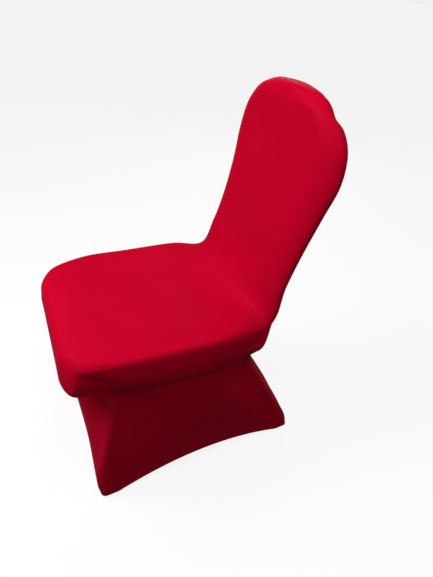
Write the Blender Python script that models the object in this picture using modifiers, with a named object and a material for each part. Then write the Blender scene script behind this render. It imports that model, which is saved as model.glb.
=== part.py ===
"""A fitted stretch cover for a banquet chair, in the shape it takes on the chair.

One front panel runs from the crown down the backrest, over the seat and down to an arched hem
between the front legs. A rear panel closes the back, and two side panels close the cushion's
sides and hang as skirts. A small pocket at each corner takes a foot of the chair. Metres, +Z up.
The front faces -Y, and the origin is on the floor, under the middle of the cover.
"""

import math
from collections import namedtuple

import bmesh
import bpy
import numpy as np

# Cloth and seams
SHEET = 0.002
SEAM_GAP = 0.0005

# Seat: heights above the floor, half widths from the middle plane
SEAT_TOP = 0.468
SEAT_HALF = 0.219
SEAT_FRONT = -0.302
SEAT_EDGE_DROP = 0.016
CUSHION = 0.080
CUSHION_CORNER = 0.025
CUSHION_LOWER_CORNER = 0.018
CUSHION_FACE_DROP = 0.050
CUSHION_FRONT_HALF = 0.197
CUSHION_REACH = 0.047
CUSHION_LOWER_REACH = 0.043
EDGE_BELOW = 0.002

# Backrest, with heights above the seat's top
BACK_FOOT = 0.137
BACK_LEAN = 14.0
BACK_BOW = 0.016
BACK_HEIGHT = 0.469
BACK_HALF_DEPTH = 0.031
CROWN_HALF = 0.117
CROWN_REACH = 0.060
CROWN_CURL = 0.014
CROWN_EDGE_DROP = 0.022
CROWN_FORWARD = 0.014
FORWARD_START = 0.65
CROWN_SEAM_BACK = 0.0295
BROW_BACK = 0.010
BROW_DROP = 0.003
BROW_WIDER = 0.006
BROW_FACING = 36
BROW_SET_BACK = 0.012
SET_BACK_START = 0.9
FLATTER_TOP = 0.8
REAR_SWELL = 0.024
REAR_BULGE = 0.003
REAR_BROW_BACK = 0.0145
HIP_SWELL = 0.006
SQUARING_ROWS = 4

# Turn from the backrest to the seat
HIP = 0.144
HIP_RISE = 0.009
HIP_HALF = 0.198
HIP_SWEEP = 0.013
TURN_DEPTH = 0.030
TURN_FACING = 39.5
TURN_REACH = 0.045

# Rear of the cushion
REAR_CREASE = 0.400
REAR_CREASE_HALF = 0.206
REAR_CREASE_Y = 0.143
REAR_CREASE_SWELL = 0.008

# Legs: where the corners of the skirt run, at the top of the leg and at the pocket's rim
FRONT_LEG_TOP = (0.193, -0.206, 0.363)
FRONT_FOOT = (0.209, -0.242)
REAR_LEG_TOP = (0.185, 0.128, 0.352)
REAR_FOOT = (0.186, 0.290)
LEG_DEPTH = 0.014
SKIRT_START = 0.045
# Tuck under the cushion: how far back it is set, drop, reach and depth of the rounded edge
FRONT_TUCK = (0.022, 0.016, 0.035, 0.028)
REAR_TUCK = (0.016, 0.048, 0.040, 0.026)

# Hem: height of the middle of each arch, and how far it runs level over a foot pocket
FRONT_ARCH = 0.100
REAR_ARCH = 0.070
SIDE_ARCH = 0.053
LEVEL_END = 0.024

# Foot pockets
POCKET_RIM = 0.016
REAR_POCKET_RIM = 0.0149
POCKET_RADIUS = 0.0135
POCKET_FLOOR_RADIUS = 0.0095
POCKET_SIDES = 16
FLOOR_INSET = 0.0005
BEND_SHARE = 0.3

# Side panels: swell of the cushion's side, the tuck under it and how far each end blends
SIDE_SWELL = 0.007
SIDE_TUCK = 0.009
TUCK_DROP = 0.014
CREASE_SLOPE = 0.006
FRONT_BLEND = 0.30
REAR_BLEND = 0.22

# Grid over a section: columns on its flat middle, and on each rounded edge
FLAT_COLUMNS = 4
CURL_COLUMNS = 4
EDGE_SPAN = 0.13
SWEEP_END = 0.6
CURL_SLANT = 0.28
SLANT_START = 0.12
SEAT_TURN = 20.0
SEAT_TURN_FACING = 70.0

# A section of a panel across the chair. y and z place its middle, edge_* its right edge. reach and
# depth size the rounded edge, swell raises the middle, and facing is the way it looks: 0 is up,
# 90 to the front and -90 to the rear. steps is how many grid rows lead to the next section.
FIELDS = "y z edge_x edge_y edge_z reach depth swell facing steps"
Section = namedtuple("Section", FIELDS)

# Backrest sections below the crown: height above the seat, half width, reach of the rounded edge,
# swell, degrees tipped towards the seat, grid rows down to the next section
BACK_ROWS = (
    (0.447, 0.137, 0.066, 0.002, 12, 1),
    (0.431, 0.162, 0.060, 0.003, 5, 2),
    (0.390, 0.193, 0.056, 0.006, 0, 2),
    (0.331, 0.205, 0.056, 0.008, 0, 3),
    (0.255, 0.194, 0.056, 0.008, 0, 3),
    (0.165, 0.184, 0.053, 0.006, 1, 3),
    (0.085, 0.184, 0.052, 0.002, 8, 3),
)

# Seat sections from the rear to the front: y, drop below the seat's top, how much narrower than
# the seat, reach, extra drop of the edge, swell, facing, grid rows down to the next section
SEAT_ROWS = (
    (0.069, -0.001, 0.002, 0.020, 0.002, -0.006, 5, 3),
    (-0.066, 0.002, 0.000, 0.022, 0.000, -0.006, 0, 2),
    (-0.176, 0.000, 0.003, 0.026, 0.000, -0.003, 2, 2),
    (SEAT_FRONT + 0.040, 0.002, 0.019, 0.045, 0.010, 0.000, 22, 2),
    (SEAT_FRONT + 0.008, 0.016, 0.024, 0.052, 0.017, 0.000, 62, 2),
)

# Skirt sections between a leg's top and its foot: share of the way, reach, depth, grid rows to the
# next section
SKIRT_ROWS = (
    (0.0, 0.020, LEG_DEPTH, 3),
    (0.45, 0.016, LEG_DEPTH, 3),
    (0.88, 0.015, 0.024, 2),
    (1.0, 0.013, LEG_DEPTH, 0),
)


def facing_vector(degrees):
    """The unit normal in the Y-Z plane of a section that faces this way."""
    angle = math.radians(degrees)
    return -math.sin(angle), math.cos(angle)


def plain_section(y, z, half, reach, depth, facing, swell=0.0, steps=0):
    """A section whose edges lie straight behind its face."""
    out_y, out_z = facing_vector(facing)
    edge_y = y - out_y * depth
    edge_z = z - out_z * depth
    return Section(y, z, half, edge_y, edge_z, reach, depth, swell, facing, steps)


def edged_section(y, z, edge, reach, depth, facing, steps=0):
    """A section whose right edge is given as a point."""
    return Section(y, z, *edge, reach, depth, 0.0, facing, steps)


def mix(start, end, share):
    return tuple(a + (b - a) * share for a, b in zip(start, end))


def smoothstep(value):
    value = np.clip(value, 0.0, 1.0)
    return value * value * (3.0 - 2.0 * value)


def back_point(height):
    """Middle of the backrest's face at this height above the seat."""
    share = height / BACK_HEIGHT
    bow = BACK_BOW * 4.0 * share * (1.0 - share)
    forward = CROWN_FORWARD * max(0.0, (share - FORWARD_START) / (1.0 - FORWARD_START)) ** 2
    return BACK_FOOT + height * math.tan(math.radians(BACK_LEAN)) + bow - forward, SEAT_TOP + height


def tipped_share(height):
    """How far the face has turned back near the crown, as a share of the set-back at its top."""
    share = height / BACK_HEIGHT
    return max(0.0, (share - SET_BACK_START) / (1.0 - SET_BACK_START)) ** 2


def backrest_sections():
    """From the crown's seam to the turn into the seat, and the index of that turn."""
    face = 90.0 - BACK_LEAN
    top_y, top_z = back_point(BACK_HEIGHT)
    seam_y = top_y + CROWN_SEAM_BACK
    seam_edge = (CROWN_HALF, seam_y, top_z - CROWN_EDGE_DROP)
    brow_edge = (CROWN_HALF + BROW_WIDER, seam_y - EDGE_BELOW, seam_edge[2] - BROW_DROP)
    brow = (top_y + BROW_BACK, top_z - BROW_DROP)
    sections = [
        edged_section(seam_y, top_z, seam_edge, CROWN_REACH, CROWN_CURL, 0, 1),
        edged_section(*brow, brow_edge, CROWN_REACH, CROWN_CURL, BROW_FACING, 1),
    ]
    for index, (height, half, reach, swell, tipped, steps) in enumerate(BACK_ROWS):
        y, z = back_point(height)
        y += BROW_SET_BACK * tipped_share(height)
        depth = BACK_HALF_DEPTH if index else FLATTER_TOP * BACK_HALF_DEPTH
        sections.append(plain_section(y, z, half, reach, depth, face - tipped, swell, steps))
    # The middle of the turn spans the corner with a wider sweep than its edges do.
    held = plain_section(HIP, SEAT_TOP + HIP_RISE, HIP_HALF, TURN_REACH, TURN_DEPTH, TURN_FACING)
    edge = (HIP_HALF, held.edge_y, held.edge_z)
    middle = (HIP - HIP_SWEEP, SEAT_TOP + HIP_RISE + HIP_SWEEP)
    return sections + [edged_section(*middle, edge, TURN_REACH, TURN_DEPTH, TURN_FACING, 3)]


def seat_sections():
    """From the rear of the seat to the rounded front edge, where the side panels start."""
    sections = []
    for y, drop, narrower, reach, edge_drop, swell, facing, steps in SEAT_ROWS:
        depth = SEAT_EDGE_DROP + edge_drop
        half = SEAT_HALF - narrower
        sections.append(
            plain_section(y, SEAT_TOP - drop, half, reach, depth, facing, swell, steps)
        )
    return sections


def front_skirt_sections():
    """The cushion's front, the tuck under it and the skirt down to the arched hem."""
    bottom = SEAT_TOP - CUSHION
    half = CUSHION_FRONT_HALF
    corner_y = SEAT_FRONT + CUSHION_LOWER_CORNER
    lower_edge = (half - EDGE_BELOW, corner_y, bottom - EDGE_BELOW)
    tuck_edge = mix((half, corner_y, bottom - EDGE_BELOW), FRONT_LEG_TOP, 0.5)
    under = (SEAT_FRONT + FRONT_TUCK[0], bottom - FRONT_TUCK[1])
    hem = (FRONT_FOOT[1] - LEG_DEPTH, FRONT_ARCH)
    foot = (*FRONT_FOOT, POCKET_RIM)
    sections = [
        plain_section(
            SEAT_FRONT, SEAT_TOP - CUSHION_FACE_DROP, half, CUSHION_REACH, CUSHION_CORNER, 90, steps=2
        ),
        edged_section(
            SEAT_FRONT, bottom, lower_edge, CUSHION_LOWER_REACH, CUSHION_LOWER_CORNER, 90, steps=2
        ),
        edged_section(*under, tuck_edge, *FRONT_TUCK[2:], 90, steps=2),
    ]
    for share, reach, depth, steps in SKIRT_ROWS:
        y, z = mix(under, hem, max(share, SKIRT_START))
        edge = mix(FRONT_LEG_TOP, foot, share)
        sections.append(edged_section(y, z, edge, reach, depth, 90, steps))
    return sections


def rear_skirt_sections():
    """From the crease behind the cushion down to the rear hem."""
    depth = REAR_SWELL + REAR_CREASE_SWELL
    crease_edge = (REAR_CREASE_HALF, REAR_CREASE_Y, REAR_CREASE)
    tuck_edge = mix(crease_edge, REAR_LEG_TOP, 0.5)
    under = (REAR_LEG_TOP[1] + REAR_TUCK[0], REAR_CREASE - REAR_TUCK[1])
    hem = (REAR_FOOT[1] + LEG_DEPTH, REAR_ARCH)
    foot = (*REAR_FOOT, POCKET_RIM)
    sections = [
        edged_section(REAR_CREASE_Y + depth, REAR_CREASE, crease_edge, TURN_REACH, depth, -90, 3),
        edged_section(*under, tuck_edge, *REAR_TUCK[2:], -90, 2),
    ]
    for share, reach, depth, steps in SKIRT_ROWS:
        y, z = mix(under, hem, max(share, SKIRT_START))
        edge = mix(REAR_LEG_TOP, foot, share)
        sections.append(edged_section(y, z, edge, reach, depth, -90, steps))
    return sections


def smooth_rows(sections):
    """Rows of section values on one smooth curve through the sections, steps rows apart."""
    values = np.array(sections, float)[:, :-1]
    moved = np.diff(values, axis=0)
    travel = np.hypot(moved[:, 0], moved[:, 1]) + np.linalg.norm(moved[:, 2:5], axis=1)
    knots = np.concatenate([[0.0], np.cumsum(np.sqrt(travel / 2))])
    spans = np.diff(knots)[:, None]
    slopes = moved / spans
    inner = (slopes[:-1] * spans[1:] + slopes[1:] * spans[:-1]) / (spans[1:] + spans[:-1])
    slopes = np.concatenate([slopes[:1], inner, slopes[-1:]])
    rows = []
    for index, span in enumerate(spans[:, 0]):
        steps = sections[index].steps
        for step in range(steps):
            u = step / steps
            rise = 3 * u**2 - 2 * u**3
            rows.append(
                (1 - rise) * values[index]
                + rise * values[index + 1]
                + (u**3 - 2 * u**2 + u) * span * slopes[index]
                + (u**3 - u**2) * span * slopes[index + 1]
            )
    return np.array(rows + [values[-1]])


def section_points(row):
    """Points across the chair on one row, from the left edge to the right."""
    y, z, edge_x, edge_y, edge_z, reach, depth, swell, facing = row
    out_y, out_z = facing_vector(facing)
    flat = edge_x - reach
    # The seat's edge stops short of upright, and the cushion's side goes on at the same slope.
    level = float(smoothstep((SEAT_TURN_FACING - abs(facing)) / SEAT_TURN_FACING))
    whole = math.radians(90.0 - SEAT_TURN * level)
    turns = whole * np.arange(1, CURL_COLUMNS + 1) / CURL_COLUMNS
    middle = flat * np.arange(FLAT_COLUMNS + 1) / FLAT_COLUMNS
    xs = np.concatenate([middle, flat + reach * np.sin(turns) / math.sin(whole)])
    # A deep edge starts as a slant, a shallow one is evenly rounded.
    slanted = CURL_SLANT * float(smoothstep((depth - LEG_DEPTH) / LEG_DEPTH))
    slant = np.hypot(np.sin(turns), SLANT_START) - SLANT_START
    rounded = (1 - slanted * slant[-1]) * (1 - np.cos(turns)) / (1 - math.cos(whole))
    curl = np.concatenate([np.zeros(FLAT_COLUMNS + 1), rounded + slanted * slant])
    across = xs / edge_x
    fall = np.minimum(1.0, xs / (edge_x - LEVEL_END)) ** 2
    # The part of the edge's place that the rounded corner doesn't explain is swept in smoothly.
    start = max(0.0, edge_x - EDGE_SPAN)
    sweep = smoothstep((xs - start) / (edge_x - SWEEP_END * reach - start))
    raised = swell * (1 - across**2) - depth * curl
    ys = y + out_y * raised + (edge_y - y + out_y * depth) * sweep
    zs = z + out_z * raised + (edge_z - z + out_z * depth) * fall
    right = np.stack([xs, ys, zs], axis=-1)
    left = right[:0:-1] * (-1, 1, 1)
    return np.concatenate([left, right])


def rear_rows(front_rows, hip, face):
    """Rows behind the backrest, on the same edges as the front panel's rows."""
    seam = front_rows[0]
    brow = front_rows[1]
    brow_centre = (seam[0] + REAR_BROW_BACK, seam[1] - BROW_DROP)
    rows = [seam, (*brow_centre, *brow[2:5], CROWN_REACH, CROWN_CURL, 0.0, (face - 180.0) / 2)]
    for index in range(2, hip + 1):
        _, _, edge_x, edge_y, edge_z, reach, _, _, facing = front_rows[index]
        fade = smoothstep((index - hip + SQUARING_ROWS) / SQUARING_ROWS)
        behind = (facing - 180.0) * (1 - fade) - 90.0 * fade
        depth = REAR_SWELL + HIP_SWELL * fade
        out_y, out_z = facing_vector(behind)
        reach += (TURN_REACH - reach) * fade
        centre = (edge_y + out_y * depth, edge_z + out_z * depth)
        rows.append((*centre, edge_x, edge_y, edge_z, reach, depth, REAR_BULGE, behind))
    return rows


def side_grid(top, front, rear, band, tuck):
    """The right side: its top edge, and its front and rear edges with equally many points."""
    bottom = SEAT_TOP - CUSHION
    lengths = np.linalg.norm(np.diff(top, axis=0), axis=1)
    shares = np.concatenate([[0.0], np.cumsum(lengths)]) / lengths.sum()
    level = LEVEL_END / lengths.sum()
    last = len(front) - 1
    grid = np.zeros((last + 1, len(top), 3))
    grid[0] = top
    for row in range(1, last + 1):
        down = np.clip((row - tuck) / (last - tuck), 0, 1)
        for column, share in enumerate(shares):
            straight = (1 - share) * front[row] + share * rear[row]
            free = min(max((share - level) / (1 - 2 * level), 0.0), 1.0)
            arch = 4 * free * (1 - free)
            straight[2] += (SIDE_ARCH - POCKET_RIM) * arch * down
            edge_x, _, edge_z = top[column]
            crease = bottom - CREASE_SLOPE * share
            hem_x = (1 - share) * front[last][0] + share * rear[last][0]
            hem_z = POCKET_RIM + (SIDE_ARCH - POCKET_RIM) * arch
            if row <= band:
                part = row / band
                x = edge_x + SIDE_SWELL * math.sin(math.pi * part) * smoothstep(share / FRONT_BLEND)
                z = edge_z + (crease - edge_z) * part
            elif row <= tuck:
                part = (row - band) / (tuck - band)
                x = edge_x - SIDE_TUCK * part
                z = crease - TUCK_DROP * part
            else:
                x = (edge_x - SIDE_TUCK) * (1 - down) + hem_x * down
                z = (crease - TUCK_DROP) * (1 - down) + hem_z * down
            part = min(1.0, row / band)
            hung = smoothstep(share / (FRONT_BLEND * part)) * smoothstep((1 - share) / (REAR_BLEND * part))
            hung *= 1 - smoothstep(2 * down - 1)
            grid[row, column] = (
                x * hung + straight[0] * (1 - hung),
                straight[1],
                z * hung + straight[2] * (1 - hung),
            )
    return grid


def panel_grids():
    """Outer surface of each panel as a grid of points, rows down and columns so that it faces out."""
    face = 90.0 - BACK_LEAN
    back = backrest_sections()
    seat = seat_sections()
    sections = back + seat + front_skirt_sections()
    rows_to = np.concatenate([[0], np.cumsum([section.steps for section in sections])])
    hip = rows_to[len(back) - 1]
    corner = rows_to[len(back) + len(seat) - 1]
    band = rows_to[len(back) + len(seat) + 1] - corner
    tuck = rows_to[len(back) + len(seat) + 2] - corner
    front_rows = smooth_rows(sections)
    front = np.array([section_points(row) for row in front_rows])
    upper = rear_rows(front_rows, hip, face)
    lower = smooth_rows([Section(*upper[-1], 3)] + rear_skirt_sections())
    rear = np.array([section_points(row) for row in [*upper, *lower[1:]]])
    edge = front[:, -1]
    right = side_grid(edge[hip : corner + 1][::-1], edge[corner:], rear[hip:, -1], band, tuck)
    left = right * (-1, 1, 1)
    return {
        "front_panel": front,
        "rear_panel": rear[:, ::-1],
        "side_panel_right": right,
        "side_panel_left": left[:, ::-1],
    }


def seam_normals(grids):
    """Normals at every point, shared where panels meet, and how far to go in for an even sheet."""
    sums = {}
    counts = {}
    keys = {}
    for name, grid in grids.items():
        down = np.diff(grid, axis=0)
        across = np.diff(grid, axis=1)
        normals = np.cross(down[:, :-1] + down[:, 1:], across[:-1] + across[1:])
        normals /= np.maximum(np.linalg.norm(normals, axis=-1, keepdims=True), 1e-12)
        keys[name] = [[tuple(np.round(point, 5) + 0.0) for point in line] for line in grid]
        for row, line in enumerate(normals):
            for column, normal in enumerate(line):
                for corner in ((0, 0), (0, 1), (1, 0), (1, 1)):
                    key = keys[name][row + corner[0]][column + corner[1]]
                    sums[key] = sums.get(key, 0) + normal
                    counts[key] = counts.get(key, 0) + 1
    inward = {}
    for name, grid in grids.items():
        inward[name] = np.zeros_like(grid)
        for row, line in enumerate(keys[name]):
            for column, key in enumerate(line):
                length = np.linalg.norm(sums[key])
                even = max(length / counts[key], 0.7)
                inward[name][row, column] = -sums[key] / length / even
    return inward


def drawn_in(grid, gap):
    """The grid with its four borders moved in along the surface by half of a seam's gap."""
    grid = grid.copy()
    for axis in (0, 1):
        lines = np.moveaxis(grid, axis, 0)
        for border, inner in ((0, 1), (-1, -2)):
            step = lines[inner] - lines[border]
            length = np.linalg.norm(step, axis=-1, keepdims=True)
            lines[border] += step / np.maximum(length, 1e-9) * gap / 2
    return grid


def make_object(name, mesh, colour):
    material = bpy.data.materials.new(name + "_cloth")
    material.use_nodes = True
    shader = material.node_tree.nodes["Principled BSDF"]
    shader.inputs["Base Color"].default_value = (*colour, 1.0)
    shader.inputs["Roughness"].default_value = 0.75
    shader.inputs["Metallic"].default_value = 0.0
    mesh.materials.append(material)
    mesh.shade_smooth()
    piece = bpy.data.objects.new(name, mesh)
    cover.objects.link(piece)
    return piece


def make_panel(name, outer, inner, colour):
    """A closed sheet between two grids of points: a grid that is extruded and laid on both."""
    rows, columns = outer.shape[:2]
    cloth = bmesh.new()
    bmesh.ops.create_grid(cloth, x_segments=columns - 1, y_segments=rows - 1, size=1.0)
    cloth.verts.ensure_lookup_table()
    place = cloth.verts.layers.int.new("place")
    for index, vert in enumerate(cloth.verts):
        vert[place] = index
    outside = list(cloth.verts)
    grown = bmesh.ops.extrude_face_region(cloth, geom=list(cloth.faces))
    inside = [item for item in grown["geom"] if isinstance(item, bmesh.types.BMVert)]
    for verts, grid in ((outside, outer), (inside, inner)):
        points = grid.reshape(-1, 3)
        for vert in verts:
            vert.co = points[vert[place]]
    # The short diagonal is the same one on both sides of a seam, so the two rims stay apart.
    bmesh.ops.triangulate(cloth, faces=list(cloth.faces), quad_method="SHORT_EDGE")
    bmesh.ops.recalc_face_normals(cloth, faces=list(cloth.faces))
    if cloth.calc_volume(signed=True) < 0:
        bmesh.ops.reverse_faces(cloth, faces=list(cloth.faces))
    mesh = bpy.data.meshes.new(name)
    cloth.to_mesh(mesh)
    cloth.free()
    return make_object(name, mesh, colour)


def make_pocket(name, foot_x, foot_y, rim, colour):
    """A shallow cup of cloth, turned from its profile, with its outer side on the skirt's corner."""
    outer = POCKET_RADIUS
    floor = POCKET_FLOOR_RADIUS
    bend = outer - floor
    profile = [
        (0.0, SHEET),
        (floor - FLOOR_INSET, SHEET),
        (outer - SHEET, bend),
        (outer - SHEET, rim),
        (outer, rim),
        (outer, bend),
        (outer - BEND_SHARE * bend, BEND_SHARE * bend),
        (floor, 0.0),
        (0.0, 0.0),
    ]
    mesh = bpy.data.meshes.new(name)
    points = [(x, 0.0, z) for x, z in profile]
    mesh.from_pydata(points, [(i, i + 1) for i in range(len(points) - 1)], [])
    pocket = make_object(name, mesh, colour)
    side = math.copysign(1.0, foot_x)
    pocket.location = (foot_x - side * outer, foot_y, 0.0)
    turned = pocket.modifiers.new("turned", "SCREW")
    turned.steps = POCKET_SIDES
    turned.render_steps = POCKET_SIDES
    turned.use_merge_vertices = True
    turned.merge_threshold = 0.00001
    return pocket


for old in list(bpy.data.objects):
    bpy.data.objects.remove(old, do_unlink=True)
cover = bpy.data.collections.new("banquet_chair_cover")
bpy.context.scene.collection.children.link(cover)

RED = (0.50, 0.001, 0.022)
DEEP_RED = (0.42, 0.001, 0.018)
panels = panel_grids()
to_inside = seam_normals(panels)
for panel, points_out in panels.items():
    points_in = points_out + SHEET * to_inside[panel]
    make_panel(
        panel,
        drawn_in(points_out, SEAM_GAP),
        drawn_in(points_in, SEAM_GAP),
        RED,
    )
ENDS = (("front", FRONT_FOOT, POCKET_RIM - SEAM_GAP), ("rear", REAR_FOOT, REAR_POCKET_RIM))
for end, (away, along), rim_z in ENDS:
    for side_name, sign in (("left", -1), ("right", 1)):
        make_pocket(f"foot_pocket_{end}_{side_name}", sign * away, along, rim_z, DEEP_RED)
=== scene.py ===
# %% [markdown]
# A stretch cover for a banquet chair
#
# The cover is sewn from a knit of polyester with some elastane. It is cut smaller than the chair,
# so it stands taut, takes the chair's shape and hardly wrinkles. One front panel runs from the
# crown over the seat to an arched hem, a rear panel closes the back, and two side panels close the
# cushion and hang as skirts. A pocket at each corner holds a foot and keeps the skirt stretched.

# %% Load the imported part
import math
from collections import namedtuple

import bmesh
import bpy
import numpy as np
from mathutils import Matrix, Vector


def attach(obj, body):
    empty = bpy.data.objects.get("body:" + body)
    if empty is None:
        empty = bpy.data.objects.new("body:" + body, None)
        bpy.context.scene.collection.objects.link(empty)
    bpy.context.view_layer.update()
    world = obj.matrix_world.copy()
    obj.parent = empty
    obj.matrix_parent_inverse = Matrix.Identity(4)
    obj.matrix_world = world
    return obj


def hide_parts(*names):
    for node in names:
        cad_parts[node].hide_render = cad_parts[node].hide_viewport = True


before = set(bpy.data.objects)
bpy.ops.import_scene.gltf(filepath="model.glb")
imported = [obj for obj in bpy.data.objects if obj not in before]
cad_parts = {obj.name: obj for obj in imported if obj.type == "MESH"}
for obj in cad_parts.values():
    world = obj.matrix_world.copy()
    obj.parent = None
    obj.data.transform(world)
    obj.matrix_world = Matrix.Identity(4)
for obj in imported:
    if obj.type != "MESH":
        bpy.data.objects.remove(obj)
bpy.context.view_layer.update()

print("nodes:", ", ".join(sorted(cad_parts)))

# %% [markdown]
# The sizes
#
# These are the cover's own sizes, in metres. The seat's height and width are what banquet chairs
# share, and the rest follows the outline of the stretched cloth. The front faces -Y.

# %% Sizes of the chair's shape
SEAT_TOP = 0.468
SEAT_HALF = 0.219
SEAT_FRONT = -0.302
SEAT_EDGE_DROP = 0.013
CUSHION = 0.080
CUSHION_CORNER = 0.032
CUSHION_LOWER_CORNER = 0.022
CUSHION_FACE_DROP = 0.050
CUSHION_FRONT_HALF = 0.197
CUSHION_REACH = 0.055
CUSHION_LOWER_REACH = 0.050
EDGE_BELOW = 0.002
BACK_FOOT = 0.137
BACK_LEAN = 14.0
BACK_BOW = 0.016
BACK_HEIGHT = 0.469
BACK_HALF_DEPTH = 0.031
CROWN_HALF = 0.114
CROWN_REACH = 0.052
CROWN_CURL = 0.014
CROWN_EDGE_DROP = 0.020
CROWN_FORWARD = 0.014
FORWARD_START = 0.65
CROWN_SEAM_BACK = 0.0295
BROW_BACK = 0.010
BROW_DROP = 0.003
BROW_WIDER = 0.006
BROW_FACING = 36
BROW_SET_BACK = 0.012
SET_BACK_START = 0.9
FLATTER_TOP = 0.8
REAR_SWELL = 0.024
REAR_BULGE = 0.003
REAR_BROW_BACK = 0.0145
HIP_SWELL = 0.006
SQUARING_ROWS = 4
HIP = 0.144
HIP_RISE = 0.009
HIP_HALF = 0.198
HIP_SWEEP = 0.013
TURN_DEPTH = 0.030
TURN_FACING = 39.5
TURN_REACH = 0.045
REAR_CREASE = 0.400
REAR_CREASE_HALF = 0.210
REAR_CREASE_Y = 0.143
REAR_CREASE_SWELL = 0.008
FRONT_LEG_TOP = (0.196, -0.202, 0.362)
FRONT_FOOT = (0.209, -0.242)
REAR_LEG_TOP = (0.185, 0.128, 0.352)
REAR_FOOT = (0.186, 0.290)
LEG_DEPTH = 0.014
SKIRT_START = 0.045
FRONT_TUCK = (0.022, 0.016, 0.035, 0.028)
REAR_TUCK = (0.016, 0.048, 0.040, 0.026)
FRONT_ARCH = 0.100
REAR_ARCH = 0.070
SIDE_ARCH = 0.053
LEVEL_END = 0.024
POCKET_RIM = 0.016
HEM_AT_FOOT = 0.0075
FRONT_LEAN = -0.10
REAR_LEAN = 0.50
POCKET_RADIUS = 0.0135
SIDE_SWELL = 0.003
SIDE_TUCK = 0.006
TUCK_DROP = 0.014
CREASE_SLOPE = 0.006
FRONT_BLEND = 0.42
REAR_BLEND = 0.22
EDGE_SPAN = 0.13
SWEEP_END = 0.6
CURL_SLANT = 0.28
SLANT_START = 0.12
SEAT_TURN = 12.0
SEAT_TURN_FACING = 70.0

# %% Sizes of the cloth
CLOTH = 0.0009
HEM_CLOTH = 0.0018
HEM_DEPTH = 0.016
HEM_STEP = 0.002
STITCH_ROWS = (0.0115, 0.0145)
STITCH_LINE = 0.0135
STITCH_DIP = 0.00025
STITCH_DIP_HALF = 0.0022
SEAM_GROOVE = 0.0003
SEAM_GROOVE_HALF = 0.0015

SPLIT = 5
FLAT_COLUMNS = 20
CURL_COLUMNS = 12
print("rows are split in", SPLIT, "and a rounded edge has", CURL_COLUMNS, "columns")

# %% [markdown]
# Sections across the chair
#
# A stretched panel has no shape of its own: it follows the chair's sections. Each section states
# the panel's middle and its right edge, how far the edge is rounded, and the way the panel faces:
# 0 is up, 90 to the front and -90 to the rear. A curve through the sections gives the rows
# between them, as the taut knit would.

# %% Tables of sections
FIELDS = "y z edge_x edge_y edge_z reach depth swell facing steps"
Section = namedtuple("Section", FIELDS)

# height above the seat, half width, reach of the rounded edge, swell, degrees tipped, rows
BACK_ROWS = (
    (0.445, 0.142, 0.060, 0.002, 14, 1),
    (0.428, 0.165, 0.060, 0.003, 5, 2),
    (0.390, 0.193, 0.056, 0.006, 0, 2),
    (0.331, 0.205, 0.056, 0.008, 0, 3),
    (0.255, 0.194, 0.056, 0.008, 0, 3),
    (0.165, 0.184, 0.053, 0.006, 1, 3),
    (0.085, 0.184, 0.052, 0.002, 8, 3),
)
# y, drop below the seat's top, how much narrower, reach, extra drop of the edge, swell, facing, rows
SEAT_ROWS = (
    (0.069, -0.001, 0.002, 0.020, 0.002, -0.006, 5, 3),
    (-0.066, 0.002, 0.000, 0.014, 0.000, -0.006, 0, 2),
    (-0.176, 0.000, 0.003, 0.016, 0.000, -0.003, 2, 2),
    (SEAT_FRONT + 0.040, 0.002, 0.019, 0.034, 0.010, 0.000, 22, 2),
    (SEAT_FRONT + 0.008, 0.016, 0.025, 0.060, 0.022, 0.000, 62, 2),
)
# share of the way from a leg's top to its foot, reach, depth, rows
SKIRT_ROWS = (
    (0.0, 0.020, LEG_DEPTH, 3),
    (0.45, 0.016, LEG_DEPTH, 3),
    (0.88, 0.015, 0.024, 2),
    (1.0, 0.013, LEG_DEPTH, 0),
)


def facing_vector(degrees):
    angle = math.radians(degrees)
    return -math.sin(angle), math.cos(angle)


def plain_section(y, z, half, reach, depth, facing, swell=0.0, steps=0):
    """A section whose edges lie straight behind its face."""
    out_y, out_z = facing_vector(facing)
    return Section(y, z, half, y - out_y * depth, z - out_z * depth, reach, depth, swell, facing, steps)


def edged_section(y, z, edge, reach, depth, facing, steps=0):
    """A section whose right edge is given as a point."""
    return Section(y, z, *edge, reach, depth, 0.0, facing, steps)


def mix(start, end, share):
    return tuple(a + (b - a) * share for a, b in zip(start, end))


def smoothstep(value):
    value = np.clip(value, 0.0, 1.0)
    return value * value * (3.0 - 2.0 * value)


# %% [markdown]
# The backrest and the seat
#
# The backrest leans back by 14 degrees and is bowed a little, and its crown comes forward. The
# front panel starts at a seam behind the crown's top, goes over the brow and down the face.

# %% Sections of the backrest and the seat
def back_point(height):
    """Middle of the backrest's face at this height above the seat."""
    share = height / BACK_HEIGHT
    bow = BACK_BOW * 4.0 * share * (1.0 - share)
    forward = CROWN_FORWARD * max(0.0, (share - FORWARD_START) / (1.0 - FORWARD_START)) ** 2
    return BACK_FOOT + height * math.tan(math.radians(BACK_LEAN)) + bow - forward, SEAT_TOP + height


def tipped_share(height):
    """How far the face has turned back near the crown, as a share of the set-back at its top."""
    share = height / BACK_HEIGHT
    return max(0.0, (share - SET_BACK_START) / (1.0 - SET_BACK_START)) ** 2


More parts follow.
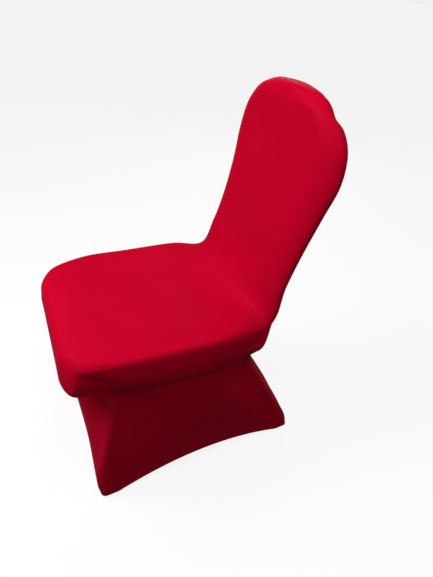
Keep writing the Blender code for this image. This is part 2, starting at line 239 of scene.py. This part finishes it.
def backrest_sections():
    face = 90.0 - BACK_LEAN
    top_y, top_z = back_point(BACK_HEIGHT)
    seam_y = top_y + CROWN_SEAM_BACK
    seam_edge = (CROWN_HALF, seam_y, top_z - CROWN_EDGE_DROP)
    brow_edge = (CROWN_HALF + BROW_WIDER, seam_y - EDGE_BELOW, seam_edge[2] - BROW_DROP)
    brow = (top_y + BROW_BACK, top_z - BROW_DROP)
    sections = [
        edged_section(seam_y, top_z, seam_edge, CROWN_REACH, CROWN_CURL, 0, 1),
        edged_section(*brow, brow_edge, CROWN_REACH, CROWN_CURL, BROW_FACING, 1),
    ]
    for index, (height, half, reach, swell, tipped, steps) in enumerate(BACK_ROWS):
        y, z = back_point(height)
        y += BROW_SET_BACK * tipped_share(height)
        depth = BACK_HALF_DEPTH if index else FLATTER_TOP * BACK_HALF_DEPTH
        sections.append(plain_section(y, z, half, reach, depth, face - tipped, swell, steps))
    # The middle of the turn spans the corner with a wider sweep than its edges do.
    held = plain_section(HIP, SEAT_TOP + HIP_RISE, HIP_HALF, TURN_REACH, TURN_DEPTH, TURN_FACING)
    edge = (HIP_HALF, held.edge_y, held.edge_z)
    middle = (HIP - HIP_SWEEP, SEAT_TOP + HIP_RISE + HIP_SWEEP)
    return sections + [edged_section(*middle, edge, TURN_REACH, TURN_DEPTH, TURN_FACING, 3)]


def seat_sections():
    sections = []
    for y, drop, narrower, reach, edge_drop, swell, facing, steps in SEAT_ROWS:
        depth = SEAT_EDGE_DROP + edge_drop
        half = SEAT_HALF - narrower
        sections.append(plain_section(y, SEAT_TOP - drop, half, reach, depth, facing, swell, steps))
    return sections


# %% [markdown]
# The skirts
#
# Under the cushion the cloth tucks in, then runs straight to the feet, because the pockets pull it
# down at the corners only. Between two feet the hem is free, and the pull turns it into an arch.

# %% Sections of the skirts
def foot_edge(away, along, lean):
    """Where the skirt's corner ends, just above the floor."""
    return away, along + lean * (POCKET_RIM - HEM_AT_FOOT), HEM_AT_FOOT


def front_skirt_sections():
    bottom = SEAT_TOP - CUSHION
    half = CUSHION_FRONT_HALF
    corner_y = SEAT_FRONT + CUSHION_LOWER_CORNER
    lower_edge = (half - EDGE_BELOW, corner_y, bottom - EDGE_BELOW)
    tuck_edge = mix((half, corner_y, bottom - EDGE_BELOW), FRONT_LEG_TOP, 0.5)
    under = (SEAT_FRONT + FRONT_TUCK[0], bottom - FRONT_TUCK[1])
    hem = (FRONT_FOOT[1] - LEG_DEPTH, FRONT_ARCH)
    foot = foot_edge(*FRONT_FOOT, FRONT_LEAN)
    sections = [
        plain_section(
            SEAT_FRONT, SEAT_TOP - CUSHION_FACE_DROP, half, CUSHION_REACH, CUSHION_CORNER, 90, steps=2
        ),
        edged_section(SEAT_FRONT, bottom, lower_edge, CUSHION_LOWER_REACH, CUSHION_LOWER_CORNER, 90, 2),
        edged_section(*under, tuck_edge, *FRONT_TUCK[2:], 90, steps=2),
    ]
    for share, reach, depth, steps in SKIRT_ROWS:
        y, z = mix(under, hem, max(share, SKIRT_START))
        edge = mix(FRONT_LEG_TOP, foot, share)
        sections.append(edged_section(y, z, edge, reach, depth, 90, steps))
    return sections


def rear_skirt_sections():
    depth = REAR_SWELL + REAR_CREASE_SWELL
    crease_edge = (REAR_CREASE_HALF, REAR_CREASE_Y, REAR_CREASE)
    tuck_edge = mix(crease_edge, REAR_LEG_TOP, 0.5)
    under = (REAR_LEG_TOP[1] + REAR_TUCK[0], REAR_CREASE - REAR_TUCK[1])
    hem = (REAR_FOOT[1] + LEG_DEPTH, REAR_ARCH)
    foot = foot_edge(*REAR_FOOT, REAR_LEAN)
    sections = [
        edged_section(REAR_CREASE_Y + depth, REAR_CREASE, crease_edge, TURN_REACH, depth, -90, 3),
        edged_section(*under, tuck_edge, *REAR_TUCK[2:], -90, 2),
    ]
    for share, reach, depth, steps in SKIRT_ROWS:
        y, z = mix(under, hem, max(share, SKIRT_START))
        edge = mix(REAR_LEG_TOP, foot, share)
        sections.append(edged_section(y, z, edge, reach, depth, -90, steps))
    return sections


# %% Rows between the sections
def smooth_rows(sections, split=1):
    """Rows of section values on one smooth curve through the sections."""
    values = np.array(sections, float)[:, :-1]
    moved = np.diff(values, axis=0)
    travel = np.hypot(moved[:, 0], moved[:, 1]) + np.linalg.norm(moved[:, 2:5], axis=1)
    knots = np.concatenate([[0.0], np.cumsum(np.sqrt(travel / 2))])
    spans = np.diff(knots)[:, None]
    slopes = moved / spans
    inner = (slopes[:-1] * spans[1:] + slopes[1:] * spans[:-1]) / (spans[1:] + spans[:-1])
    slopes = np.concatenate([slopes[:1], inner, slopes[-1:]])
    rows = []
    for index, span in enumerate(spans[:, 0]):
        steps = split * sections[index].steps
        for step in range(steps):
            u = step / steps
            rise = 3 * u**2 - 2 * u**3
            rows.append(
                (1 - rise) * values[index]
                + rise * values[index + 1]
                + (u**3 - 2 * u**2 + u) * span * slopes[index]
                + (u**3 - u**2) * span * slopes[index + 1]
            )
    return np.array(rows + [values[-1]])


def section_points(row):
    """Points across the chair on one row, from the left edge to the right."""
    y, z, edge_x, edge_y, edge_z, reach, depth, swell, facing = row
    out_y, out_z = facing_vector(facing)
    flat = edge_x - reach
    # The seat's edge stops short of upright, and the cushion's side goes on at the same slope.
    level = float(smoothstep((SEAT_TURN_FACING - abs(facing)) / SEAT_TURN_FACING))
    whole = math.radians(90.0 - SEAT_TURN * level)
    turns = whole * np.arange(1, CURL_COLUMNS + 1) / CURL_COLUMNS
    middle = flat * np.arange(FLAT_COLUMNS + 1) / FLAT_COLUMNS
    xs = np.concatenate([middle, flat + reach * np.sin(turns) / math.sin(whole)])
    # A deep edge starts as a slant, a shallow one is evenly rounded.
    slanted = CURL_SLANT * float(smoothstep((depth - LEG_DEPTH) / LEG_DEPTH))
    slant = np.hypot(np.sin(turns), SLANT_START) - SLANT_START
    rounded = (1 - slanted * slant[-1]) * (1 - np.cos(turns)) / (1 - math.cos(whole))
    curl = np.concatenate([np.zeros(FLAT_COLUMNS + 1), rounded + slanted * slant])
    across = xs / edge_x
    fall = np.minimum(1.0, xs / (edge_x - LEVEL_END)) ** 2
    start = max(0.0, edge_x - EDGE_SPAN)
    sweep = smoothstep((xs - start) / (edge_x - SWEEP_END * reach - start))
    raised = swell * (1 - across**2) - depth * curl
    ys = y + out_y * raised + (edge_y - y + out_y * depth) * sweep
    zs = z + out_z * raised + (edge_z - z + out_z * depth) * fall
    right = np.stack([xs, ys, zs], axis=-1)
    return np.concatenate([right[:0:-1] * (-1, 1, 1), right])


# %% [markdown]
# The four panels as grids of points
#
# The rear panel shares the front panel's edges down to the seat, where the side panels come in
# between them. A side panel is a band on the cushion's side, a tuck and a skirt.

# %% Rear and side panels
def rear_rows(front_rows, hip, face):
    """Rows behind the backrest, on the same edges as the front panel's rows."""
    seam = front_rows[0]
    brow = front_rows[1]
    brow_centre = (seam[0] + REAR_BROW_BACK, seam[1] - BROW_DROP)
    rows = [seam, (*brow_centre, *brow[2:5], CROWN_REACH, CROWN_CURL, 0.0, (face - 180.0) / 2)]
    for index in range(2, hip + 1):
        _, _, edge_x, edge_y, edge_z, reach, _, _, facing = front_rows[index]
        fade = smoothstep((index - hip + SQUARING_ROWS) / SQUARING_ROWS)
        behind = (facing - 180.0) * (1 - fade) - 90.0 * fade
        depth = REAR_SWELL + HIP_SWELL * fade
        out_y, out_z = facing_vector(behind)
        reach += (TURN_REACH - reach) * fade
        centre = (edge_y + out_y * depth, edge_z + out_z * depth)
        rows.append((*centre, edge_x, edge_y, edge_z, reach, depth, REAR_BULGE, behind))
    return rows


def side_grid(top, front, rear, band, tuck):
    """The right side: its top edge, and its front and rear edges with equally many points."""
    bottom = SEAT_TOP - CUSHION
    lengths = np.linalg.norm(np.diff(top, axis=0), axis=1)
    shares = np.concatenate([[0.0], np.cumsum(lengths)]) / lengths.sum()
    level = LEVEL_END / lengths.sum()
    last = len(front) - 1
    grid = np.zeros((last + 1, len(top), 3))
    grid[0] = top
    for row in range(1, last + 1):
        down = np.clip((row - tuck) / (last - tuck), 0, 1)
        for column, share in enumerate(shares):
            straight = (1 - share) * front[row] + share * rear[row]
            free = min(max((share - level) / (1 - 2 * level), 0.0), 1.0)
            arch = 4 * free * (1 - free)
            straight[2] += (SIDE_ARCH - HEM_AT_FOOT) * arch * down
            edge_x, _, edge_z = top[column]
            crease = bottom - CREASE_SLOPE * share
            hem_x = (1 - share) * front[last][0] + share * rear[last][0]
            hem_z = HEM_AT_FOOT + (SIDE_ARCH - HEM_AT_FOOT) * arch
            if row <= band:
                part = row / band
                x = edge_x + SIDE_SWELL * math.sin(math.pi * part) * smoothstep(share / FRONT_BLEND)
                z = edge_z + (crease - edge_z) * part
            elif row <= tuck:
                part = (row - band) / (tuck - band)
                x = edge_x - SIDE_TUCK * part
                z = crease - TUCK_DROP * part
            else:
                x = (edge_x - SIDE_TUCK) * (1 - down) + hem_x * down
                z = (crease - TUCK_DROP) * (1 - down) + hem_z * down
            part = min(1.0, row / band)
            hung = smoothstep(share / (FRONT_BLEND * part))
            hung *= smoothstep((1 - share) / (REAR_BLEND * part))
            hung *= 1 - smoothstep(2 * down - 1)
            grid[row, column] = (
                x * hung + straight[0] * (1 - hung),
                straight[1],
                z * hung + straight[2] * (1 - hung),
            )
    return grid


def panel_grids():
    """Outer surface of each panel as a grid of points, rows down and columns so that it faces out."""
    face = 90.0 - BACK_LEAN
    back = backrest_sections()
    seat = seat_sections()
    sections = back + seat + front_skirt_sections()
    rows_to = np.concatenate([[0], np.cumsum([section.steps for section in sections])])
    hip = rows_to[len(back) - 1]
    corner = rows_to[len(back) + len(seat) - 1]
    band = rows_to[len(back) + len(seat) + 1] - corner
    tuck = rows_to[len(back) + len(seat) + 2] - corner
    front_rows = smooth_rows(sections, SPLIT)
    front = np.array([section_points(row) for row in front_rows])

    upper = rear_rows(smooth_rows(sections), hip, face)
    upper_fine = smooth_rows([Section(*row, 1) for row in upper], SPLIT)
    upper_fine[:, 2:5] = front_rows[: len(upper_fine), 2:5]
    lower = smooth_rows([Section(*upper[-1], 3)] + rear_skirt_sections(), SPLIT)
    rear = np.array([section_points(row) for row in [*upper_fine, *lower[1:]]])

    hip, corner, band, tuck = SPLIT * hip, SPLIT * corner, SPLIT * band, SPLIT * tuck
    edge = front[:, -1]
    right = side_grid(edge[hip : corner + 1][::-1], edge[corner:], rear[hip:, -1], band, tuck)
    return {
        "front_panel": front,
        "rear_panel": rear[:, ::-1],
        "side_panel_right": right,
        "side_panel_left": (right * (-1, 1, 1))[:, ::-1],
    }


# %% [markdown]
# Normals, and finer lines where the seams and hems are
#
# Two panels that meet share one normal at each point of the seam, so the cloth stays closed there.
# A seam is a groove about 3 mm wide and a hem is 16 mm deep, and both need lines closer together
# than the rest of the panel does.

# %% Shared normals
CORNER_LIMIT = 0.7


def shared_normals(grids):
    """Normals out of the cloth at every point, shared where panels meet, made longer at a corner."""
    sums, counts, keys = {}, {}, {}
    for name, grid in grids.items():
        down = np.diff(grid, axis=0)
        across = np.diff(grid, axis=1)
        normals = np.cross(down[:, :-1] + down[:, 1:], across[:-1] + across[1:])
        normals /= np.maximum(np.linalg.norm(normals, axis=-1, keepdims=True), 1e-12)
        keys[name] = [[tuple(np.round(point, 5) + 0.0) for point in line] for line in grid]
        for row, line in enumerate(normals):
            for column, normal in enumerate(line):
                for corner in ((0, 0), (0, 1), (1, 0), (1, 1)):
                    key = keys[name][row + corner[0]][column + corner[1]]
                    sums[key] = sums.get(key, 0) + normal
                    counts[key] = counts.get(key, 0) + 1
    outward = {}
    for name, grid in grids.items():
        outward[name] = np.zeros_like(grid)
        for row, line in enumerate(keys[name]):
            for column, key in enumerate(line):
                length = np.linalg.norm(sums[key])
                even = max(length / counts[key], CORNER_LIMIT)
                outward[name][row, column] = sums[key] / length / even
    return outward


# %% Finer lines
SEAM_LINES = (0.12, 0.28, 0.55)
HEM_LINES = (0.25, 0.5, 0.75)
FOLD_LINES = (0.25, 0.5, 0.75, 0.88, 0.95, 0.985)


def with_lines(values, axis, places):
    """The grid with extra lines: for each place, the line it follows and its share of the gap."""
    lines = np.moveaxis(values, axis, 0)
    result = []
    for index, line in enumerate(lines):
        result.append(line)
        for share in places.get(index, ()):
            result.append(line + share * (lines[index + 1] - line))
    return np.moveaxis(np.array(result), 0, axis)


def refined(values):
    """The grid with close lines along all four borders."""
    rows, columns = values.shape[:2]
    other_seam = tuple(1 - share for share in reversed(SEAM_LINES))
    values = with_lines(values, 1, {0: SEAM_LINES, columns - 2: other_seam})
    hem = {rows - 4: HEM_LINES, rows - 3: HEM_LINES, rows - 2: FOLD_LINES}
    return with_lines(values, 0, {0: SEAM_LINES, **hem})


grids = panel_grids()
normals = shared_normals(grids)
grids = {name: refined(grid) for name, grid in grids.items()}
normals = {name: refined(normal) for name, normal in normals.items()}
for name, grid in grids.items():
    print(name, "grid:", grid.shape[0], "x", grid.shape[1])

# %% [markdown]
# The pull lines in the cloth
#
# A stretched knit shows soft ridges where it is pulled to a point: from the top of each leg into
# the skirt, from each foot up beside the leg, and at the shoulder, where the seam turns. They are
# a millimetre or so high and are stated as lines in space, once for both sides.

# %% Table of pull lines: start, end, width, height
PULLS = (
    ((0.200, -0.200, 0.365), (0.206, -0.100, 0.315), 0.012, 0.0006),
    ((0.199, -0.204, 0.350), (0.205, -0.140, 0.235), 0.012, 0.0006),
    ((0.190, 0.120, 0.358), (0.205, 0.020, 0.318), 0.012, 0.0010),
    ((0.188, 0.124, 0.342), (0.202, 0.060, 0.240), 0.011, 0.0012),
    ((0.205, -0.238, 0.040), (0.203, -0.170, 0.110), 0.010, 0.0009),
    ((0.188, 0.270, 0.040), (0.196, 0.170, 0.120), 0.012, 0.0011),
    ((0.190, -0.218, 0.362), (0.120, -0.268, 0.335), 0.014, 0.0006),
    ((0.180, 0.132, 0.355), (0.110, 0.154, 0.322), 0.012, 0.0014),
    ((0.176, 0.213, 0.868), (0.158, 0.221, 0.876), 0.006, 0.0010),
)
PULL_WIDTH_AT_START = 0.6
PULL_WIDENING = 0.8
PULL_FADING = 0.75
PULL_AT_SEAM = 0.35
PULL_SEAM_FADE = 0.01


def pull_relief(points):
    """How far the cloth stands out because of the pull lines."""
    relief = np.zeros(points.shape[:-1])
    mirrored = np.abs(points) * (1, 0, 0) + points * (0, 1, 1)
    for start, end, width, height in PULLS:
        start, end = np.array(start), np.array(end)
        along = end - start
        share = np.clip(((mirrored - start) @ along) / (along @ along), 0, 1)
        away = np.linalg.norm(mirrored - (start + share[..., None] * along), axis=-1)
        broad = width * (PULL_WIDTH_AT_START + PULL_WIDENING * share)
        relief += height * (1 - PULL_FADING * share) * np.exp(-((away / broad) ** 2))
    return relief


# %% [markdown]
# From a grid to a sheet of cloth
#
# The grid gives the cloth's outer side. The inner side follows it at the cloth's thickness, which
# doubles in the hem. The free edge of the hem is a fold, so it is rounded. The sheet's own
# coordinates, in metres across and down, carry the knit, and the distance from the hem places the
# two rows of stitches.

# %% Distances on the cloth
def running(points, axis):
    """Distance along the grid's lines from its first border."""
    steps = np.linalg.norm(np.diff(points, axis=axis), axis=-1)
    total = np.cumsum(steps, axis=axis)
    pad = [(0, 0), (0, 0)]
    pad[axis] = (1, 0)
    return np.pad(total, pad)


def cloth_measures(grid):
    """For each point: metres across from the middle, metres down, to the hem and to a seam."""
    across = running(grid, 1)
    down = running(grid, 0)
    hem = down[-1:] - down
    seam = np.minimum(np.minimum(across, across[:, -1:] - across), down)
    middle = across - across[:, -1:] / 2
    return middle, down, hem, seam


def cloth_sides(grid, normal):
    """Outer and inner side of the cloth."""
    _, _, hem, seam = cloth_measures(grid)
    groove = -SEAM_GROOVE * np.exp(-((seam / SEAM_GROOVE_HALF) ** 2))
    stitched = -STITCH_DIP * np.exp(-(((hem - STITCH_LINE) / STITCH_DIP_HALF) ** 2))
    in_hem = smoothstep((HEM_DEPTH + HEM_STEP / 2 - hem) / HEM_STEP)
    thick = CLOTH + (HEM_CLOTH - CLOTH) * in_hem
    radius = HEM_CLOTH / 2
    fold = np.sqrt(1 - (1 - np.minimum(hem / radius, 1)) ** 2)
    pulled = pull_relief(grid) * smoothstep(seam / PULL_SEAM_FADE + PULL_AT_SEAM)
    away = groove + stitched + pulled
    middle = away - thick / 2
    outer = grid + normal * (middle + thick / 2 * fold)[..., None]
    inner = grid + normal * (middle - thick / 2 * fold)[..., None]
    return outer, inner


# %% The mesh of one panel
def make_panel(name, grid, normal):
    """A closed sheet: a grid that is extruded and laid on the cloth's two sides."""
    outer, inner = cloth_sides(grid, normal)
    middle, down, hem, seam = cloth_measures(grid)
    rows, columns = grid.shape[:2]
    cloth = bmesh.new()
    bmesh.ops.create_grid(cloth, x_segments=columns - 1, y_segments=rows - 1, size=1.0)
    cloth.verts.ensure_lookup_table()
    place = cloth.verts.layers.int.new("place")
    for index, vert in enumerate(cloth.verts):
        vert[place] = index
    outside = list(cloth.verts)
    grown = bmesh.ops.extrude_face_region(cloth, geom=list(cloth.faces))
    inside = [item for item in grown["geom"] if isinstance(item, bmesh.types.BMVert)]
    for verts, side in ((outside, outer), (inside, inner)):
        points = side.reshape(-1, 3)
        for vert in verts:
            vert.co = points[vert[place]]
    bmesh.ops.recalc_face_normals(cloth, faces=list(cloth.faces))
    if cloth.calc_volume(signed=True) < 0:
        bmesh.ops.reverse_faces(cloth, faces=list(cloth.faces))
    for face in cloth.faces:
        face.smooth = True
    mesh = bpy.data.meshes.new(name)
    cloth.to_mesh(mesh)
    cloth.free()

    index = np.zeros(len(mesh.vertices), int)
    mesh.attributes["place"].data.foreach_get("value", index)
    for label, values in (("hem", hem), ("seam", seam)):
        layer = mesh.attributes.new(label, "FLOAT", "POINT")
        layer.data.foreach_set("value", values.reshape(-1)[index].astype(np.float32))
    corners = np.zeros(len(mesh.loops), int)
    mesh.loops.foreach_get("vertex_index", corners)
    flat = np.stack([middle, -down], axis=-1).reshape(-1, 2)[index[corners]]
    uv = mesh.uv_layers.new(name="cloth")
    uv.data.foreach_set("uv", flat.reshape(-1).astype(np.float32))
    panel = bpy.data.objects.new(name, mesh)
    bpy.context.scene.collection.objects.link(panel)
    return panel


def grid_area(grid):
    """Area of the grid's surface."""
    down = np.diff(grid, axis=0)
    across = np.diff(grid, axis=1)
    crossed = np.cross(down[:, :-1] + down[:, 1:], across[:-1] + across[1:])
    return np.linalg.norm(crossed, axis=-1).sum() / 4


panels = {}
for name, grid in grids.items():
    panels[name] = make_panel("cloth_" + name, grid, normals[name])
    faces = len(panels[name].data.polygons)
    print(name, "stretched area, m2:", round(grid_area(grid), 3), "faces:", faces)

# %% [markdown]
# The foot pockets
#
# Each pocket is a small cup of doubled cloth that is sewn inside the skirt's corner, so only its
# rounded end shows below the hem. Its floor goes under the chair's foot, and it leans with the leg.
# It is turned from a profile: radius and height, from the middle of the floor out, over the rim
# and back inside.

# %% Make the pockets
POCKET_PROFILE = (
    (0.0, 0.0),
    (0.0050, 0.0),
    (0.0074, 0.0003),
    (0.0091, 0.0012),
    (0.0102, 0.0027),
    (0.0109, 0.0047),
    (0.0113, 0.0075),
    (0.0113, 0.0130),
    (0.0113, 0.0226),
    (0.0110, 0.0233),
    (0.0105, 0.0234),
    (0.0102, 0.0227),
    (0.0101, 0.0130),
    (0.0099, 0.0080),
    (0.0092, 0.0048),
    (0.0080, 0.0028),
    (0.0064, 0.0019),
    (0.0, 0.0016),
)
POCKET_TURNS = 40


def make_pocket(name, x, y, lean):
    """A cup turned from the profile, and leaned along Y below its rim."""
    cup = bmesh.new()
    verts = [cup.verts.new((radius, 0.0, z)) for radius, z in POCKET_PROFILE]
    edges = [cup.edges.new(pair) for pair in zip(verts, verts[1:])]
    bmesh.ops.spin(
        cup,
        geom=verts + edges,
        cent=(0, 0, 0),
        axis=(0, 0, 1),
        angle=math.tau,
        steps=POCKET_TURNS,
        use_merge=True,
    )
    bmesh.ops.remove_doubles(cup, verts=list(cup.verts), dist=0.00002)
    bmesh.ops.recalc_face_normals(cup, faces=list(cup.faces))
    for face in cup.faces:
        face.smooth = True
    uv = cup.loops.layers.uv.new("cloth")
    for face in cup.faces:
        for loop in face.loops:
            around = math.atan2(loop.vert.co.y, loop.vert.co.x)
            loop[uv].uv = (around * POCKET_RADIUS, loop.vert.co.z)
    for vert in cup.verts:
        vert.co.y += lean * (POCKET_RIM - vert.co.z)
    bmesh.ops.translate(cup, verts=list(cup.verts), vec=(x, y, 0))
    mesh = bpy.data.meshes.new(name)
    cup.to_mesh(mesh)
    cup.free()
    pocket = bpy.data.objects.new(name, mesh)
    bpy.context.scene.collection.objects.link(pocket)
    return pocket


pockets = {}
for end, (away, along), lean in (("front", FRONT_FOOT, FRONT_LEAN), ("rear", REAR_FOOT, REAR_LEAN)):
    for side, sign in (("left", -1), ("right", 1)):
        node = f"foot_pocket_{end}_{side}"
        x = sign * (away - POCKET_RADIUS)
        pockets[node] = make_pocket("cloth_" + node, x, along, lean)
print("pockets:", ", ".join(pockets))

# %% [markdown]
# The knit
#
# The cloth is a fine warp knit, piece-dyed a deep red. Seen close, it has thin ribs that run down
# the panel, and every rib is a chain of small loops. A taut knit lets its filaments shine a little
# at a flat angle, so it has some sheen in its own colour. The dye is even, and the colour only
# drifts by a few hundredths over the cover.

# %% Materials
RED = (0.44, 0.0002, 0.0175, 1.0)
RED_DEEP = (0.40, 0.0002, 0.0145, 1.0)
RIB = 0.0011
LOOP = 0.0009
LOOP_HEIGHT = 0.35
STITCH_HALF = 0.0006
STITCH_PITCH = 0.0032
STITCH_GAP = 0.55
STITCH_HEIGHT = 3.0


def knit(name, light, deep, hem_stitches):
    """A stretch knit with ribs, a slight drift of colour and, on panels, the hem's stitches."""
    material = bpy.data.materials.new(name)
    material.use_nodes = True
    nodes = material.node_tree.nodes
    links = material.node_tree.links
    shader = nodes["Principled BSDF"]
    shader.inputs["Roughness"].default_value = 0.5
    shader.inputs["Specular IOR Level"].default_value = 0.012
    shader.inputs["Sheen Weight"].default_value = 0.14
    shader.inputs["Sheen Roughness"].default_value = 0.30
    shader.inputs["Sheen Tint"].default_value = (1.0, 0.10, 0.22, 1.0)

    def math_node(operation, first, second=None, third=None):
        node = nodes.new("ShaderNodeMath")
        node.operation = operation
        for socket, value in zip(node.inputs, (first, second, third)):
            if value is None:
                continue
            if isinstance(value, (int, float)):
                socket.default_value = value
            else:
                links.new(value, socket)
        return node.outputs[0]

    place = nodes.new("ShaderNodeTexCoord")
    drift = nodes.new("ShaderNodeTexNoise")
    drift.inputs["Scale"].default_value = 9.0
    drift.inputs["Detail"].default_value = 3.0
    links.new(place.outputs["Object"], drift.inputs["Vector"])
    colour = nodes.new("ShaderNodeMix")
    colour.data_type = "RGBA"
    colour.inputs["A"].default_value = deep
    colour.inputs["B"].default_value = light
    spread = nodes.new("ShaderNodeMapRange")
    spread.inputs["From Min"].default_value = 0.25
    spread.inputs["From Max"].default_value = 0.65
    links.new(drift.outputs["Fac"], spread.inputs["Value"])
    links.new(spread.outputs["Result"], colour.inputs["Factor"])
    links.new(colour.outputs["Result"], shader.inputs["Base Color"])

    cloth = nodes.new("ShaderNodeUVMap")
    cloth.uv_map = "cloth"
    parts = nodes.new("ShaderNodeSeparateXYZ")
    links.new(cloth.outputs["UV"], parts.inputs["Vector"])
    across, down = parts.outputs["X"], parts.outputs["Y"]
    rib = math_node("SINE", math_node("MULTIPLY", across, math.tau / RIB))
    loop = math_node("SINE", math_node("MULTIPLY", down, math.tau / LOOP))
    height = math_node("MULTIPLY_ADD", loop, LOOP_HEIGHT, rib)

    if hem_stitches:
        hem = nodes.new("ShaderNodeAttribute")
        hem.attribute_name = "hem"
        rows = None
        for distance in STITCH_ROWS:
            away = math_node("ABSOLUTE", math_node("SUBTRACT", hem.outputs["Fac"], distance))
            line = math_node("SUBTRACT", 1.0, math_node("MULTIPLY", away, 1 / STITCH_HALF))
            line = math_node("MAXIMUM", line, 0.0)
            rows = line if rows is None else math_node("ADD", rows, line)
        dash = math_node("SINE", math_node("MULTIPLY", across, math.tau / STITCH_PITCH))
        dash = math_node("MAXIMUM", math_node("ADD", dash, STITCH_GAP), 0.0)
        stitches = math_node("MULTIPLY", rows, dash)
        height = math_node("MULTIPLY_ADD", stitches, STITCH_HEIGHT, height)

    bump = nodes.new("ShaderNodeBump")
    bump.inputs["Strength"].default_value = 0.35
    bump.inputs["Distance"].default_value = 0.00008
    links.new(height, bump.inputs["Height"])
    links.new(bump.outputs["Normal"], shader.inputs["Normal"])
    return material


panel_knit = knit("stretch_knit", RED, RED_DEEP, True)
pocket_knit = knit("pocket_knit", RED_DEEP, RED_DEEP, False)
for panel in panels.values():
    panel.data.materials.append(panel_knit)
for pocket in pockets.values():
    pocket.data.materials.append(pocket_knit)
print("materials:", panel_knit.name, pocket_knit.name)

# %% [markdown]
# The pieces take the place of the imported parts
#
# Every panel is one sheet, cut about 6 per cent smaller each way than the chair it is pulled over.
# The pockets are sewn to the front and rear panels' corners.

for name, panel in panels.items():
    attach(panel, "root")
    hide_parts(name)
for name, pocket in pockets.items():
    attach(pocket, "root")
    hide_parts(name)
sewn_to = {"front_panel": "front", "rear_panel": "rear"}
for name, grid in grids.items():
    end = sewn_to.get(name)

# %% [markdown]
# Floor and light
#
# The cover stands on a plain pale floor. A large soft light in front and above, a little towards
# the far side, makes the seat and the backrest bright and leaves the near side a deep red. A
# second one above the near side opens up its shade, a weak one low in front lights the skirt
# under the cushion, a broad one fills from the far side's rear, and a small one behind draws a
# thin rim along the rear leg.

# %% The floor
FLOOR_GREY = 0.11
PALE = 0.87

floor_mesh = bpy.data.meshes.new("floor")
floor_shape = bmesh.new()
bmesh.ops.create_grid(floor_shape, x_segments=1, y_segments=1, size=40.0)
floor_shape.to_mesh(floor_mesh)
floor_shape.free()
floor = bpy.data.objects.new("floor", floor_mesh)
bpy.context.scene.collection.objects.link(floor)
pale = bpy.data.materials.new("pale_floor")
pale.use_nodes = True
pale_shader = pale.node_tree.nodes["Principled BSDF"]
pale_shader.inputs["Base Color"].default_value = (FLOOR_GREY, FLOOR_GREY, FLOOR_GREY, 1)
pale_shader.inputs["Roughness"].default_value = 0.9
pale_shader.inputs["Emission Color"].default_value = (1, 1, 1, 1)
pale_shader.inputs["Emission Strength"].default_value = PALE
floor_mesh.materials.append(pale)
# The floor throws no light back at the cloth, so the near side stays a deep red.
floor.visible_diffuse = False
floor.visible_glossy = False
print("floor grey:", FLOOR_GREY, "glow:", PALE)

# %% The lights
# name, place, aimed at, diameter, watts
LIGHTS = (
    ("key", (-0.35, -1.0, 1.8), (0, 0.0, 0.55), 0.9, 27),
    ("low", (0.4, -2.6, 0.7), (0, -0.2, 0.3), 1.2, 8),
    ("rim", (0.9, 2.2, 1.1), (0, 0.1, 0.3), 0.8, 3),
    ("fill", (-2.2, 1.6, 1.6), (0, 0.1, 0.5), 1.6, 13),
    ("top", (0.85, -0.1, 2.3), (0, 0.0, 0.5), 1.0, 19),
)
for name, place, target, size, watts in LIGHTS:
    data = bpy.data.lights.new(name, "AREA")
    data.shape = "DISK"
    data.size = size
    data.energy = watts
    light = bpy.data.objects.new(name, data)
    light.location = place
    light.rotation_mode = "QUATERNION"
    light.rotation_quaternion = (Vector(target) - Vector(place)).to_track_quat("-Z", "Y")
    bpy.context.scene.collection.objects.link(light)
    print(name, "light:", watts, "W at", place)

world = bpy.data.worlds.new("surroundings")
world.use_nodes = True
surround = world.node_tree.nodes["Background"]
surround.inputs["Color"].default_value = (1, 1, 1, 1)
# Seen directly, the surroundings are as pale as the floor. As a light they are weak.
seen = world.node_tree.nodes.new("ShaderNodeLightPath")
strength = world.node_tree.nodes.new("ShaderNodeMapRange")
strength.inputs["To Min"].default_value = 0.11
strength.inputs["To Max"].default_value = PALE
world.node_tree.links.new(seen.outputs["Is Camera Ray"], strength.inputs["Value"])
world.node_tree.links.new(strength.outputs["Result"], surround.inputs["Strength"])
bpy.context.scene.world = world
bpy.context.scene.view_settings.view_transform = "Standard"

# %% [markdown]
# The camera
#
# It looks down on the cover from about 1.1 m away, above the near side and a little to the front.
# The place and the three angles are those at which the cover's outline fits the photograph's.

# %% The camera
CAMERA_PLACE = (0.836, -0.312, 1.109)
CAMERA_AZIMUTH = 62.65
CAMERA_PITCH = 35.64
CAMERA_ROLL = 5.37
CAMERA_LENS = 27.42
azimuth, pitch, roll = (math.radians(x) for x in (CAMERA_AZIMUTH, CAMERA_PITCH, CAMERA_ROLL))
back = Vector(
    (math.sin(azimuth) * math.cos(pitch), -math.cos(azimuth) * math.cos(pitch), math.sin(pitch))
)
level = Vector((0, 0, 1)).cross(back).normalized()
upright = back.cross(level)
right = math.cos(roll) * level + math.sin(roll) * upright
up = -math.sin(roll) * level + math.cos(roll) * upright
camera_data = bpy.data.cameras.new("camera")
camera_data.lens = CAMERA_LENS
camera_data.sensor_width = 36.0
camera_data.clip_start = 0.01
camera = bpy.data.objects.new("camera", camera_data)
turn = Matrix((right, up, back)).transposed().to_4x4()
camera.matrix_world = Matrix.Translation(CAMERA_PLACE) @ turn
bpy.context.scene.collection.objects.link(camera)
bpy.context.scene.camera = camera
print("camera at", CAMERA_PLACE, "lens", CAMERA_LENS)
